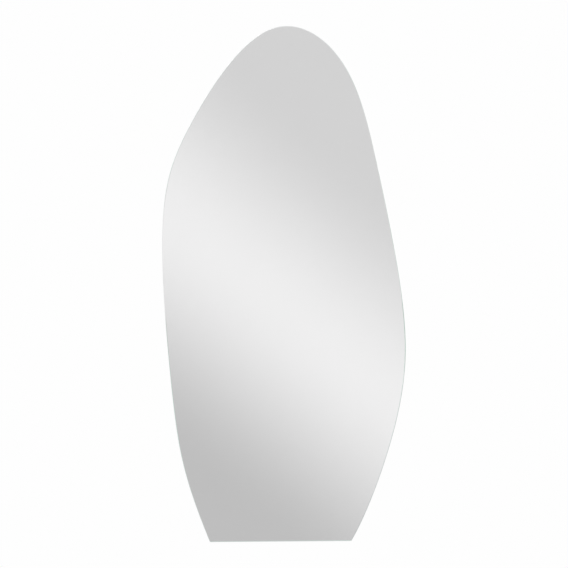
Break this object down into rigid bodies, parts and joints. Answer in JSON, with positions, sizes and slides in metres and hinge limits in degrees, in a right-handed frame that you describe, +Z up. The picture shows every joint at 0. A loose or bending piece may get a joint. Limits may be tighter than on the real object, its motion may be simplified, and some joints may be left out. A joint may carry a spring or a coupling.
{
  "type": "irregular wall mirror",
  "caption": "Tall frameless wall mirror with an asymmetric pebble outline and a straight base, on a fibreboard back with strap hangers, folding D rings and rubber wall bumpers.",
  "frame": {"origin": "on the wall plane, midway between the hanging rings, at the height where a wall hook bears in them, over the centroid of the outline", "axes": "+Z up; the mirrored face looks along -Y and the wall is the plane Y = 0; +X to the right for a person looking into the mirror"},
  "size_m": [0.8, 0.0284, 1.7],
  "materials": {
    "float_glass": "clear float glass, polished rounded edge",
    "silvering": "mirror silver",
    "backing_paint": "grey protective mirror paint, satin",
    "safety_film": "woven-backed polyethylene safety film",
    "foam_tape": "white closed-cell foam",
    "adhesive": "cured mirror adhesive",
    "fibreboard": "raw medium density fibreboard",
    "zinc_steel": "bright zinc plated steel",
    "rubber": "black moulded rubber"
  },
  "bodies": {
    "mirror": {"glass_pane": "float_glass", "silver_coating": "silvering", "protective_paint": "backing_paint", "safety_film": "safety_film", "mounting_tape_1": "foam_tape", "mounting_tape_2": "foam_tape", "mounting_tape_3": "foam_tape", "mounting_tape_4": "foam_tape", "mounting_tape_5": "foam_tape", "adhesive_bead_1": "adhesive", "adhesive_bead_2": "adhesive", "adhesive_bead_3": "adhesive", "adhesive_bead_4": "adhesive", "backing_board": "fibreboard", "hanger_strap_left": "zinc_steel", "hanger_strap_right": "zinc_steel", "hanger_screw_left_1": "zinc_steel", "hanger_screw_left_2": "zinc_steel", "hanger_screw_left_3": "zinc_steel", "hanger_screw_right_1": "zinc_steel", "hanger_screw_right_2": "zinc_steel", "hanger_screw_right_3": "zinc_steel", "wall_bumper_upper_left": "rubber", "wall_bumper_upper_right": "rubber", "wall_bumper_lower_left": "rubber", "wall_bumper_lower_right": "rubber", "bumper_washer_upper_left": "zinc_steel", "bumper_washer_upper_right": "zinc_steel", "bumper_washer_lower_left": "zinc_steel", "bumper_washer_lower_right": "zinc_steel", "bumper_screw_upper_left": "zinc_steel", "bumper_screw_upper_right": "zinc_steel", "bumper_screw_lower_left": "zinc_steel", "bumper_screw_lower_right": "zinc_steel"},
    "left_ring": {"hanger_ring_left": "zinc_steel"},
    "right_ring": {"hanger_ring_right": "zinc_steel"}
  },
  "joints": [
    {"name": "left_ring_hinge", "type": "hinge", "parent": "mirror", "child": "left_ring", "pos_m": [-0.18, -0.0062, -0.02195], "axis": [-1, 0, 0], "range_deg": [0, 179]},
    {"name": "right_ring_hinge", "type": "hinge", "parent": "mirror", "child": "right_ring", "pos_m": [0.18, -0.0062, -0.02195], "axis": [-1, 0, 0], "range_deg": [0, 179]}
  ]
}
